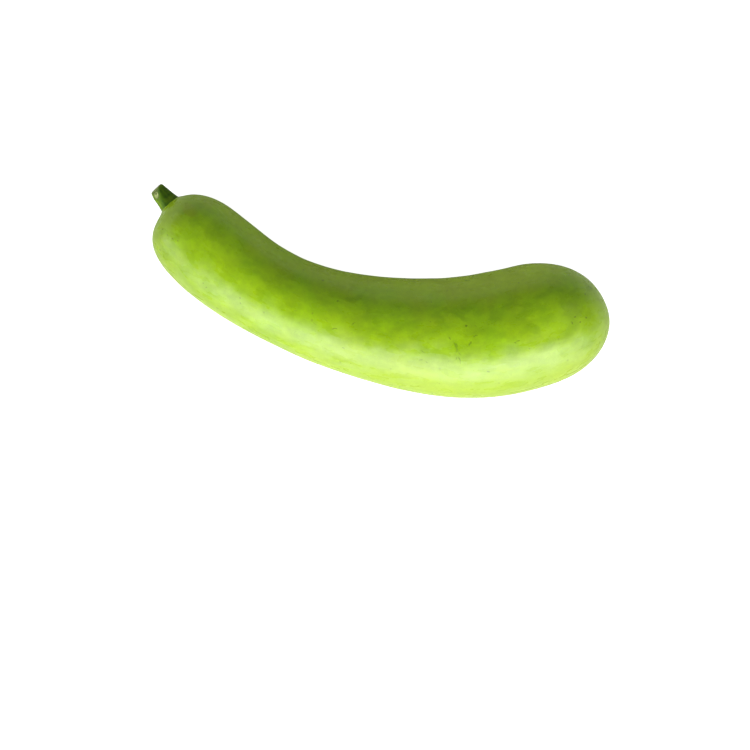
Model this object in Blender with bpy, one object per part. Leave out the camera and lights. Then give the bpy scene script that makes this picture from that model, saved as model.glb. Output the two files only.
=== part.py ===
"""A bottle gourd as picked: one long, bent fruit lying on its side, and the cut stub of its stem.

Metres, +Z up. The fruit lies on the plane z = 0 and touches it on three small flat spots. The
origin is the middle of the object's bounding box, down on that plane. The fruit is a tube of round
rings along a bent middle line, from the stem (share 0 of the line) to the blossom end (share 1).
"""

import math

import bmesh
import bpy
import numpy as np
from mathutils import Matrix, Vector

# The fruit: its middle line and its girth
MIDLINE_LENGTH = 0.2995
NECK_RADIUS = 0.0285
BELLY_RADIUS = 0.0391
SWELL_FROM, SWELL_TO = 0.27, 0.80
SHOULDER_BULGE = 0.0009
SHOULDER_SHARE, SHOULDER_SPREAD = 0.16, 0.06
# Heading of the middle line seen from above, in degrees from +X, at shares of its length
HEADINGS = (
    (0.00, -49.2),
    (0.10, -42.4),
    (0.25, -31.2),
    (0.42, -16.8),
    (0.60, -6.7),
    (0.78, 10.5),
    (1.00, 28.9),
)

# The two rounded ends: length along the middle line, and bluntness, where 2 is an ellipse
STEM_DOME_LENGTH, STEM_DOME_BLUNTNESS = 0.0362, 2.47
BLOSSOM_DOME_LENGTH, BLOSSOM_DOME_BLUNTNESS = 0.0535, 2.25
# The dimple left by the blossom
SCAR_RADIUS, SCAR_FLOOR_RADIUS, SCAR_DEPTH = 0.0032, 0.0022, 0.0005
# The socket that the stem grows from: a little off the middle line, in a low collar of skin
SOCKET_RADIUS, SOCKET_DEPTH = 0.0078, 0.0010
SOCKET_SIDESTEP = 0.0029
COLLAR_HEIGHT, COLLAR_SPREAD = 0.0010, 0.0022

# The underside: shares of the middle line where it touches, and how far it arches in between
TOUCH_SHARES = (0.12, 0.47, 0.80)
UNDERSIDE_ARCH = 0.0020
FLAT_SPOT_DEPTH = 0.00025

# The stem: a ridged, tapering stub that leans off the fruit's own line
STEM_LENGTH = 0.0139
STEM_FOOT_RADIUS, STEM_WAIST_RADIUS, STEM_TIP_RADIUS = 0.0072, 0.0064, 0.0050
STEM_FLARE_LENGTH = 0.0035
STEM_HEADING, STEM_RISE = 136.0, 12.0
STEM_RIDGES, STEM_RIDGE_HEIGHT = 5, 0.00020
STEM_CLEARANCE = 0.0003
# The slanting nick at the lower left corner of the cut: how deep it bites, and where it faces
NICK_DEPTH = 0.0030
NICK_HEADING, NICK_RISE = 184.0, 18.0

# Linear colours and roughness
SKIN_COLOUR, SKIN_ROUGHNESS = (0.30, 0.46, 0.045), 0.42
BARK_COLOUR, BARK_ROUGHNESS = (0.045, 0.085, 0.008), 0.55

FRUIT_SIDES = 48
MIDDLE_RINGS, STEM_DOME_RINGS, BLOSSOM_DOME_RINGS = 34, 12, 12
# Above 1, a dome's rings stand closer together towards its pole
RING_CROWDING = 1.3
STEM_SIDES, STEM_RINGS = 40, 9
MIDLINE_STEPS = 600
SHARP_EDGE_ANGLE = 35.0
UP = Vector((0.0, 0.0, 1.0))


def clear_scene():
    """Removes whatever the file opened with."""
    for obj in list(bpy.data.objects):
        bpy.data.objects.remove(obj)


def plain_material(name, colour, roughness):
    """A Principled material of one colour."""
    material = bpy.data.materials.new(name)
    material.use_nodes = True
    shader = material.node_tree.nodes["Principled BSDF"]
    shader.inputs["Base Color"].default_value = (*colour, 1.0)
    shader.inputs["Roughness"].default_value = roughness
    shader.inputs["Metallic"].default_value = 0.0
    material.diffuse_color = (*colour, 1.0)
    return material


def smooth_through(stations, shares):
    """A smooth curve through (share, value) stations, read at each of the given shares."""
    places, values = np.array(stations).T
    slopes = np.gradient(values, places)
    span = np.clip(np.searchsorted(places, shares) - 1, 0, len(places) - 2)
    width = places[span + 1] - places[span]
    t = (shares - places[span]) / width
    return (
        (2 * t**3 - 3 * t**2 + 1) * values[span]
        + (t**3 - 2 * t**2 + t) * width * slopes[span]
        + (3 * t**2 - 2 * t**3) * values[span + 1]
        + (t**3 - t**2) * width * slopes[span + 1]
    )


def ease(value):
    """0 up to 0, 1 from 1, and a smooth step in between."""
    value = np.clip(value, 0.0, 1.0)
    return value * value * (3 - 2 * value)


def full_radius(share):
    """The girth's radius at a share of the middle line, as if both ends stayed open."""
    swell = ease((share - SWELL_FROM) / (SWELL_TO - SWELL_FROM))
    shoulder = np.exp(-(((share - SHOULDER_SHARE) / SHOULDER_SPREAD) ** 2))
    return NECK_RADIUS + (BELLY_RADIUS - NECK_RADIUS) * swell + SHOULDER_BULGE * shoulder


def underside_height(share):
    """The height of the underside: just under the surface where the fruit touches, arched between."""
    first, second, third = TOUCH_SHARES
    spans = np.where(
        share < second,
        (share - first) / (second - first),
        1 + (share - second) / (third - second),
    )
    return UNDERSIDE_ARCH * np.sin(math.pi * spans) ** 2 - FLAT_SPOT_DEPTH


def midline(shares):
    """Points of the middle line at the given shares, and its headings there, in radians."""
    fine = np.linspace(0.0, 1.0, MIDLINE_STEPS + 1)
    heading = np.radians(smooth_through(HEADINGS, fine))
    halfway = (heading[1:] + heading[:-1]) / 2
    step = MIDLINE_LENGTH / MIDLINE_STEPS
    x = np.concatenate(([0.0], np.cumsum(step * np.cos(halfway))))
    y = np.concatenate(([0.0], np.cumsum(step * np.sin(halfway))))
    z = full_radius(shares) + underside_height(shares)
    points = np.column_stack((np.interp(shares, fine, x), np.interp(shares, fine, y), z))
    return points, np.interp(shares, fine, heading)


def dome_rings(length, bluntness, full, first_radius, count):
    """A rounded end's rings, pole first: distance from the pole, and share of the full radius."""
    power = 2 / bluntness
    first = math.asin((first_radius / full) ** (1 / power))
    for step in np.linspace(0.0, 1.0, count, endpoint=False):
        angle = first + (math.pi / 2 - first) * step**RING_CROWDING
        yield length * (1 - math.cos(angle) ** power), math.sin(angle) ** power


def fruit_stations():
    """Shares of the middle line and ring radii, from the socket's rim to the scar's rim."""
    stem_dome = dome_rings(
        STEM_DOME_LENGTH, STEM_DOME_BLUNTNESS, full_radius(0.0), SOCKET_RADIUS, STEM_DOME_RINGS
    )
    blossom_dome = dome_rings(
        BLOSSOM_DOME_LENGTH, BLOSSOM_DOME_BLUNTNESS, full_radius(1.0), SCAR_RADIUS, BLOSSOM_DOME_RINGS
    )
    middle = np.linspace(
        STEM_DOME_LENGTH / MIDLINE_LENGTH, 1 - BLOSSOM_DOME_LENGTH / MIDLINE_LENGTH, MIDDLE_RINGS
    )
    stations = [(distance / MIDLINE_LENGTH, part) for distance, part in stem_dome]
    stations += [(share, 1.0) for share in middle]
    stations += reversed([(1 - distance / MIDLINE_LENGTH, part) for distance, part in blossom_dome])
    shares, parts = np.array(stations).T
    return shares, parts * full_radius(shares)


def heading_vector(heading, rise=0.0):
    """The unit vector at a heading in the ground plane and a rise above it, both in radians."""
    level = math.cos(rise)
    return Vector((math.cos(heading) * level, math.sin(heading) * level, math.sin(rise)))


def add_ring(mesh, centre, along, radius, sides):
    """A circle round centre and square to along, first point at its right. Gives points and edges."""
    side = along.cross(UP).normalized()
    placed = Matrix((side, side.cross(along), along)).transposed().to_4x4()
    placed.translation = centre
    points = bmesh.ops.create_circle(mesh, segments=sides, radius=radius, matrix=placed)["verts"]
    return points, list({edge for point in points for edge in point.link_edges})


def skin_over(mesh, rings):
    """Bridges neighbouring rings of edges, and closes each end with one flat face."""
    for low, high in zip(rings, rings[1:]):
        bmesh.ops.bridge_loops(mesh, edges=low + high)
    for end in (rings[0], rings[-1]):
        bmesh.ops.edgeloop_fill(mesh, edges=end)
    bmesh.ops.recalc_face_normals(mesh, faces=mesh.faces)


def cut_off(mesh, point, normal):
    """Cuts away what lies past a plane, on its normal's side, and fills each cut with a flat face."""
    cut = bmesh.ops.bisect_plane(
        mesh,
        geom=[*mesh.verts, *mesh.edges, *mesh.faces],
        plane_co=point,
        plane_no=normal,
        clear_outer=True,
    )
    edges = [part for part in cut["geom_cut"] if isinstance(part, bmesh.types.BMEdge)]
    bmesh.ops.edgeloop_fill(mesh, edges=edges)
    bmesh.ops.recalc_face_normals(mesh, faces=mesh.faces)


def mesh_object(name, mesh, material, parent):
    """Turns the bmesh into a smooth shaded object under its parent."""
    data = bpy.data.meshes.new(name)
    mesh.to_mesh(data)
    mesh.free()
    data.materials.append(material)
    data.shade_smooth()
    data.set_sharp_from_angle(angle=math.radians(SHARP_EDGE_ANGLE))
    obj = bpy.data.objects.new(name, data)
    obj.parent = parent
    bpy.context.scene.collection.objects.link(obj)
    return obj


def socket_rim():
    """Centre of the socket's rim, and the unit vector that points out of the fruit there."""
    shares, _ = fruit_stations()
    points, headings = midline(shares[:1])
    outward = -heading_vector(headings[0])
    inner_bend = heading_vector(headings[0] + math.pi / 2)
    return Vector(points[0]) + inner_bend * SOCKET_SIDESTEP + outward * COLLAR_HEIGHT, outward


def build_fruit(parent):
    """The fruit in one piece, skin to core: bent, swelling, blunt at both ends."""
    mesh = bmesh.new()
    shares, radii = fruit_stations()
    points, headings = midline(shares)
    rings = []
    for point, heading, radius in zip(points, headings, radii):
        along = heading_vector(heading)
        centre = Vector(point)
        if len(rings) < STEM_DOME_RINGS:
            from_socket = (radius - SOCKET_RADIUS) / (NECK_RADIUS - SOCKET_RADIUS)
            sidestep = SOCKET_SIDESTEP * (1 - ease(from_socket)) ** 2
            collar = COLLAR_HEIGHT * math.exp(-(radius - SOCKET_RADIUS) / COLLAR_SPREAD)
            centre += heading_vector(heading + math.pi / 2) * sidestep - along * collar
        rings.append(add_ring(mesh, centre, along, radius, FRUIT_SIDES)[1])
    rim, outward = socket_rim()
    _, floor = add_ring(mesh, rim - outward * SOCKET_DEPTH, -outward, SOCKET_RADIUS, FRUIT_SIDES)
    inward = -heading_vector(headings[-1])
    scar_centre = Vector(points[-1]) + inward * SCAR_DEPTH
    _, scar = add_ring(mesh, scar_centre, -inward, SCAR_FLOOR_RADIUS, FRUIT_SIDES)
    skin_over(mesh, [floor, *rings, scar])
    cut_off(mesh, Vector((0.0, 0.0, 0.0)), -UP)
    skin = plain_material("fruit_skin", SKIN_COLOUR, SKIN_ROUGHNESS)
    return mesh_object("fruit", mesh, skin, parent)


def stem_radius(distance):
    """The stem's mean radius at a distance from its foot: a flared foot, then a slow taper."""
    taper = STEM_WAIST_RADIUS + (STEM_TIP_RADIUS - STEM_WAIST_RADIUS) * distance / STEM_LENGTH
    flare = (STEM_FOOT_RADIUS - STEM_WAIST_RADIUS) * math.exp(-distance / STEM_FLARE_LENGTH)
    return taper + flare


def build_stem(parent):
    """The stem's stub: its foot in the fruit's socket, its tip cut across and nicked at one side."""
    mesh = bmesh.new()
    rim, outward = socket_rim()
    lean = heading_vector(math.radians(STEM_HEADING), math.radians(STEM_RISE))
    centre = rim - outward * (SOCKET_DEPTH - STEM_CLEARANCE)
    step = STEM_LENGTH / (STEM_RINGS - 1)
    rings = []
    for i in range(STEM_RINGS):
        along = outward.lerp(lean, i / (STEM_RINGS - 1)).normalized()
        if i:
            centre = centre + along * step
        radius = stem_radius(i * step)
        points, edges = add_ring(mesh, centre, along, radius, STEM_SIDES)
        for k, point in enumerate(points):
            ridge = STEM_RIDGE_HEIGHT * math.cos(STEM_RIDGES * 2 * math.pi * k / STEM_SIDES)
            point.co = centre + (point.co - centre) * (1 + ridge / radius)
        rings.append(edges)
    skin_over(mesh, rings)
    nick_normal = heading_vector(math.radians(NICK_HEADING), math.radians(NICK_RISE))
    reach = max(point.co.dot(nick_normal) for point in mesh.verts)
    cut_off(mesh, nick_normal * (reach - NICK_DEPTH), nick_normal)
    bark = plain_material("stem_skin", BARK_COLOUR, BARK_ROUGHNESS)
    return mesh_object("stem", mesh, bark, parent)


def main():
    """Builds both pieces and sets the origin under the middle of the whole."""
    clear_scene()
    gourd = bpy.data.objects.new("gourd", None)
    bpy.context.scene.collection.objects.link(gourd)
    pieces = (build_fruit(gourd), build_stem(gourd))
    corners = np.array([vertex.co for piece in pieces for vertex in piece.data.vertices])
    middle = (corners.min(axis=0) + corners.max(axis=0)) / 2
    gourd.location = (-middle[0], -middle[1], 0.0)


main()
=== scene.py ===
"""How a bottle gourd looks: its waxy green rind, its cut stem, a pale floor, soft lights and a camera.

Metres and +Z up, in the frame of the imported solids. The gourd lies on the plane z = 0. Its fruit is a
tube of round rings along a bent middle line, from the stem (share 0 of that line) to the blossom end
(share 1). "Straight" coordinates follow the line: how far along it a point lies, how far to its left
and how far above it. Whatever grew with the fruit is drawn in them, so it bends as the fruit does.
"""

import logging
import math
from collections.abc import Callable, Iterator
from dataclasses import dataclass, field
from enum import Enum
from typing import Any

import bpy
import numpy as np
from mathutils import Matrix, Vector


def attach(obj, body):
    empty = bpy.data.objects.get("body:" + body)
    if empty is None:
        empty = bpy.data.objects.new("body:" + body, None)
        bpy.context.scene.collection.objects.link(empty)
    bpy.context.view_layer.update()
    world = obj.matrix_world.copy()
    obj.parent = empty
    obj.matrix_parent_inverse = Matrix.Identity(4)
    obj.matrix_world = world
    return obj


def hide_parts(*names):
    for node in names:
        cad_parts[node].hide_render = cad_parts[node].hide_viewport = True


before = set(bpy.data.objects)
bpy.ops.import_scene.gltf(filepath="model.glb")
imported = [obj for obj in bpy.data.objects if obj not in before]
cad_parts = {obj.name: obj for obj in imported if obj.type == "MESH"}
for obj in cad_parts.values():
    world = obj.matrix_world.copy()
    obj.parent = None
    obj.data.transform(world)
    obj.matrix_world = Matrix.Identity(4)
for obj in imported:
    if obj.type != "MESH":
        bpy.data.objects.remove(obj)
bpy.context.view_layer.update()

BODY = "root"
LOG = logging.getLogger("gourd")

Node = bpy.types.Node
Socket = bpy.types.NodeSocket
Tree = bpy.types.NodeTree
Pair = tuple[float, float]
Colour = tuple[float, float, float]
Feed = Socket | float | tuple[float, ...]

# The piece's own attributes that its materials read
STRAIGHT = "straight"
FANNED = "fanned"
CUT = "cut"
PITH = "pith"

# Points are measured against the middle line this many at a time
POINTS_AT_ONCE = 4000
# Above 1, a dome's rings stand closer together towards its pole
RING_CROWDING = 1.3
# What the skin may stand in or out of its round before a dome is taken to begin
UNEVENNESS = 0.001
# Cut flesh faces its cut's own way: not at all below the first cosine, and wholly from the second
FACING = (0.45, 0.80)
# How many cut depths below a cut its flesh has wholly faded into bark
FLESH_DEPTHS = 2.0
# How steeply the pith ends at its edge
PITH_POWER = 4
# The blossom end's dome begins at a ring this much wider than the scar
SCAR_MARGIN = 1.18
# The values of noise between which a cloudy patch, and a streak, fade in
PATCH_NOISE = (0.32, 0.68)
STREAK_NOISE = (0.35, 0.65)
# A dot's radius is its size times a random value that starts at this
SMALLEST_DOT = 0.3
# The shares of its radius between which a dot fades out
DOT_EDGE = (0.55, 1.1)
# An oval fades out between these squares of the distance from its middle, in its own half sizes
OVAL_EDGE = (0.3, 1.6)
# Makes a random value into another one that doesn't go with it
RESHUFFLE = 17.0
# A share times what is left of it is a quarter at most, and this brings it to 1
QUARTERS = 4.0


def ease(value: np.ndarray) -> np.ndarray:
    """Gives 0 up to 0, 1 from 1, and a smooth step in between."""
    value = np.clip(value, 0.0, 1.0)
    return value * value * (3 - 2 * value)


def heading_vector(heading: float, rise: float = 0.0) -> Vector:
    """The unit vector at a heading in the ground plane and a rise above it.

    Args:
        heading: Angle from +X, in radians.
        rise: Angle above the ground, in radians.

    Returns:
        The vector.
    """
    level = math.cos(rise)
    return Vector((math.cos(heading) * level, math.sin(heading) * level, math.sin(rise)))


@dataclass(frozen=True)
class MiddleLine:
    """The bent line that the fruit grew along, and its girth.

    Attributes:
        start: Where the line starts, at the stem, seen from above.
        length: Its whole length.
        headings: Its heading in degrees from +X, at shares of its length.
        neck: The radius behind the stem.
        belly: The radius of the belly.
        swell: The shares between which the neck swells to the belly.
        shoulder: The extra radius at the shoulder, its share, and its spread.
        touch: The shares where the underside touches the ground.
        arch: How far the underside arches between them.
        press: How far the round underside would reach below the ground where it touches.
        steps: How finely the line is measured.
    """

    start: Pair = (-0.13300, 0.05200)
    length: float = 0.2995
    headings: tuple[Pair, ...] = (
        (0.00, -49.2),
        (0.10, -42.4),
        (0.25, -31.2),
        (0.42, -16.8),
        (0.60, -6.7),
        (0.78, 10.5),
        (1.00, 28.9),
    )
    neck: float = 0.0285
    belly: float = 0.0391
    swell: Pair = (0.27, 0.80)
    shoulder: tuple[float, float, float] = (0.0009, 0.16, 0.06)
    touch: tuple[float, float, float] = (0.12, 0.47, 0.80)
    arch: float = 0.0020
    press: float = 0.00025
    steps: int = 600

    def heading(self, shares: np.ndarray) -> np.ndarray:
        """The line's heading, on a smooth curve through the stations.

        Args:
            shares: Shares of the line's length.

        Returns:
            The headings, in radians.
        """
        places, values = np.array(self.headings).T
        slopes = np.gradient(values, places)
        span = np.clip(np.searchsorted(places, shares) - 1, 0, len(places) - 2)
        width = places[span + 1] - places[span]
        t = (shares - places[span]) / width
        smooth = (
            (2 * t**3 - 3 * t**2 + 1) * values[span]
            + (t**3 - 2 * t**2 + t) * width * slopes[span]
            + (3 * t**2 - 2 * t**3) * values[span + 1]
            + (t**3 - t**2) * width * slopes[span + 1]
        )
        return np.radians(smooth)

    def radius(self, shares: np.ndarray) -> np.ndarray:
        """The girth's radius, as if both ends stayed open.

        Args:
            shares: Shares of the line's length.

        Returns:
            The radii.
        """
        first, last = self.swell
        extra, share, spread = self.shoulder
        swelling = (self.belly - self.neck) * ease((shares - first) / (last - first))
        return self.neck + swelling + extra * np.exp(-(((shares - share) / spread) ** 2))

    def points(self, shares: np.ndarray) -> np.ndarray:
        """Points of the line at the given shares.

        Args:
            shares: Shares of the line's length.

        Returns:
            One row of x, y and z for each share.
        """
        fine = np.linspace(0.0, 1.0, self.steps + 1)
        heading = self.heading(fine)
        halfway = (heading[1:] + heading[:-1]) / 2
        step = self.length / self.steps
        x = self.start[0] + np.concatenate(([0.0], np.cumsum(step * np.cos(halfway))))
        y = self.start[1] + np.concatenate(([0.0], np.cumsum(step * np.sin(halfway))))
        first, second, third = self.touch
        spans = np.where(
            shares < second,
            (shares - first) / (second - first),
            1 + (shares - second) / (third - second),
        )
        underside = self.arch * np.sin(math.pi * spans) ** 2 - self.press
        return np.column_stack(
            (np.interp(shares, fine, x), np.interp(shares, fine, y), self.radius(shares) + underside)
        )

    def at(self, share: float) -> tuple[Vector, float]:
        """The line's point at a share of its length, and its heading there in radians."""
        shares = np.array([share])
        return Vector(self.points(shares)[0]), float(self.heading(shares)[0])

    def straighten(self, points: np.ndarray) -> np.ndarray:
        """Turns points into straight coordinates.

        Args:
            points: One row of x, y and z for each point.

        Returns:
            One row for each point: the distance along the line, to its left, and above it.
        """
        shares = np.linspace(0.0, 1.0, self.steps + 1)
        line = self.points(shares)
        blocks = np.array_split(points, 1 + len(points) // POINTS_AT_ONCE)
        nearest = np.concatenate(
            [((b[:, None, :2] - line[None, :, :2]) ** 2).sum(axis=2).argmin(axis=1) for b in blocks]
        )
        offset = points - line[nearest]
        heading = self.heading(shares)[nearest]
        ahead = offset[:, 0] * np.cos(heading) + offset[:, 1] * np.sin(heading)
        left = offset[:, 1] * np.cos(heading) - offset[:, 0] * np.sin(heading)
        return np.column_stack((shares[nearest] * self.length + ahead, left, offset[:, 2]))

    def fan(self, straight: np.ndarray) -> np.ndarray:
        """Turns straight coordinates into ones whose lines run over the skin and meet at both ends.

        Args:
            straight: One row of straight coordinates for each point.

        Returns:
            One row for each point: the way over the skin, and the direction from the middle line, as a
            point of a circle.
        """
        ahead, aside = straight[:, 0], np.hypot(straight[:, 1], straight[:, 2])
        girth = self.radius(np.clip(ahead / self.length, 0.0, 1.0))
        closed = np.maximum(girth - aside - UNEVENNESS, 0.0)
        way = ahead + np.where(ahead < self.length / 2, -closed, closed)
        direction = straight[:, 1:] / np.maximum(aside, UNEVENNESS)[:, None]
        return np.column_stack((way, direction * self.neck))


@dataclass(frozen=True)
class Dome:
    """A rounded end: its length along the middle line, and its bluntness, where 2 is an ellipse."""

    length: float
    bluntness: float

    def rings(self, first: float, count: int) -> Iterator[Pair]:
        """The dome's rings, from near its pole outwards.

        Args:
            first: The first ring's share of the full radius.
            count: How many rings there are.

        Yields:
            Each ring's distance from the pole, and its share of the full radius.
        """
        power = 2 / self.bluntness
        start = math.asin(first ** (1 / power))
        for step in np.linspace(0.0, 1.0, count, endpoint=False):
            angle = start + (math.pi / 2 - start) * step**RING_CROWDING
            yield self.length * (1 - math.cos(angle) ** power), math.sin(angle) ** power


@dataclass(frozen=True)
class Ring:
    """A round section: its centre, the heading in radians that it faces, and its radius."""

    centre: Vector
    heading: float
    radius: float


class Clay:
    """A piece while it is modelled: it is drawn out in edit mode, and then finished by modifiers."""

    def __init__(self, name: str, sides: int, radius: float, centre: Vector, turn: tuple[float, ...]) -> None:
        """Starts the piece as one ring of points, selected in edit mode.

        Args:
            name: The piece's name.
            sides: How many points the ring has.
            radius: The ring's radius.
            centre: The ring's centre.
            turn: How the ring is turned about X, Y and Z, in radians.
        """
        bpy.ops.object.select_all(action="DESELECT")
        bpy.ops.mesh.primitive_circle_add(vertices=sides, radius=radius, location=centre, rotation=turn)
        self.piece: bpy.types.Object = bpy.context.object
        self.piece.name = name
        self.piece.data.name = name
        bpy.ops.object.transform_apply(location=True, rotation=True, scale=True)
        bpy.ops.object.mode_set(mode="EDIT")
        bpy.ops.mesh.select_all(action="SELECT")

    def draw_out(self, move: Vector) -> None:
        """Extrudes what is selected by a move."""
        bpy.ops.mesh.extrude_region_move(TRANSFORM_OT_translate={"value": move})

    def widen(self, share: float, centre: Vector) -> None:
        """Scales what is selected about a centre."""
        bpy.ops.transform.resize(value=(share, share, share), center_override=centre)

    def turn(self, angle: float, axis: str, centre: Vector) -> None:
        """Turns what is selected anticlockwise, seen against the axis, by an angle in radians."""
        # With no window, the operator turns the other way
        bpy.ops.transform.rotate(value=-angle, orient_axis=axis, center_override=centre)

    def close(self) -> None:
        """Closes the selected ring with one flat face."""
        bpy.ops.mesh.edge_face_add()

    def select(self, chosen: Callable[[Vector], bool]) -> None:
        """Selects some of the points and nothing else, in edit mode.

        Args:
            chosen: Tells of a point's place whether the point is selected.
        """
        bpy.ops.mesh.select_mode(type="VERT")
        bpy.ops.mesh.select_all(action="DESELECT")
        bpy.ops.object.mode_set(mode="OBJECT")
        for point in self.piece.data.vertices:
            point.select = chosen(point.co)
        bpy.ops.object.mode_set(mode="EDIT")

    def leave_edit_mode(self) -> None:
        """Leaves edit mode, with faces that point outwards."""
        bpy.ops.mesh.select_all(action="SELECT")
        bpy.ops.mesh.normals_make_consistent(inside=False)
        bpy.ops.object.mode_set(mode="OBJECT")

    def press(self, place: Vector, move: Vector, reach: float) -> None:
        """Presses a dent into the piece, in object mode.

        Args:
            place: Where the surface moves most.
            move: How it moves there.
            reach: How far round that place it moves.
        """
        distances = np.linalg.norm(self.points() - np.array(place), axis=1)
        nearest = self.piece.data.vertices[int(distances.argmin())].co.copy()
        bpy.ops.object.mode_set(mode="EDIT")
        self.select(lambda point: point == nearest)
        bpy.ops.transform.translate(
            value=move,
            use_proportional_edit=True,
            proportional_edit_falloff="SMOOTH",
            proportional_size=reach,
        )
        bpy.ops.object.mode_set(mode="OBJECT")

    def finish_with(self, kind: str, **settings: Any) -> None:
        """Adds a modifier and applies it.

        Args:
            kind: The modifier's type.
            settings: Its settings.
        """
        modifier = self.piece.modifiers.new(kind.title(), kind)
        for name, value in settings.items():
            setattr(modifier, name, value)
        bpy.ops.object.modifier_apply(modifier=modifier.name)

    def _read(self, value: str) -> np.ndarray:
        """Reads a vector of each of the piece's points.

        Args:
            value: The vector's name in the mesh.

        Returns:
            One row for each point.
        """
        flat = np.empty(len(self.piece.data.vertices) * 3, np.float32)
        self.piece.data.vertices.foreach_get(value, flat)
        return flat.reshape(-1, 3).astype(float)

    def points(self) -> np.ndarray:
        """The places of the piece's points, one row each."""
        return self._read("co")

    def normals(self) -> np.ndarray:
        """The normals at the piece's points, one row each."""
        return self._read("normal")

    def move_points(self, places: np.ndarray) -> None:
        """Puts the piece's points at new places, one row each."""
        self.piece.data.vertices.foreach_set("co", places.astype(np.float32).ravel())
        self.piece.data.update()

    def note(self, name: str, values: np.ndarray) -> None:
        """Keeps a value or a vector for each point as an attribute that the material reads.

        Args:
            name: The attribute's name.
            values: One number, or one row of three, for each point.
        """
        vector = values.ndim > 1
        kind = "FLOAT_VECTOR" if vector else "FLOAT"
        attribute = self.piece.data.attributes.new(name, kind, "POINT")
        attribute.data.foreach_set("vector" if vector else "value", values.astype(np.float32).ravel())


def cloud_texture(name: str, size: float) -> bpy.types.Texture:
    """A cloud texture that a Displace modifier raises as lumps.

    Args:
        name: The texture's name.
        size: The size of one lump.

    Returns:
        The texture.
    """
    texture = bpy.data.textures.new(name, "CLOUDS")
    texture.noise_scale = size
    texture.noise_depth = 1
    return texture


@dataclass(frozen=True)
class Pattern:
    """A pattern in a finish.

    Attributes:
        size: The size of one patch or dot, or the length of one streak or stroke.
        strength: How strongly it shows, from 0 to 1.
        width: The width of one streak or stroke.
        spacing: How far apart strokes or dots stand.
        share: On which share of those places there is one.
    """

    size: float
    strength: float
    width: float = 0.0
    spacing: float = 0.0
    share: float = 0.0

    def feeds(self) -> dict[str, float]:
        """What the pattern's node group takes in: every value that isn't 0."""
        values = {"Size": self.size, "Width": self.width, "Spacing": self.spacing, "Share": self.share}
        return {name: value for name, value in values.items() if value}


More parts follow.
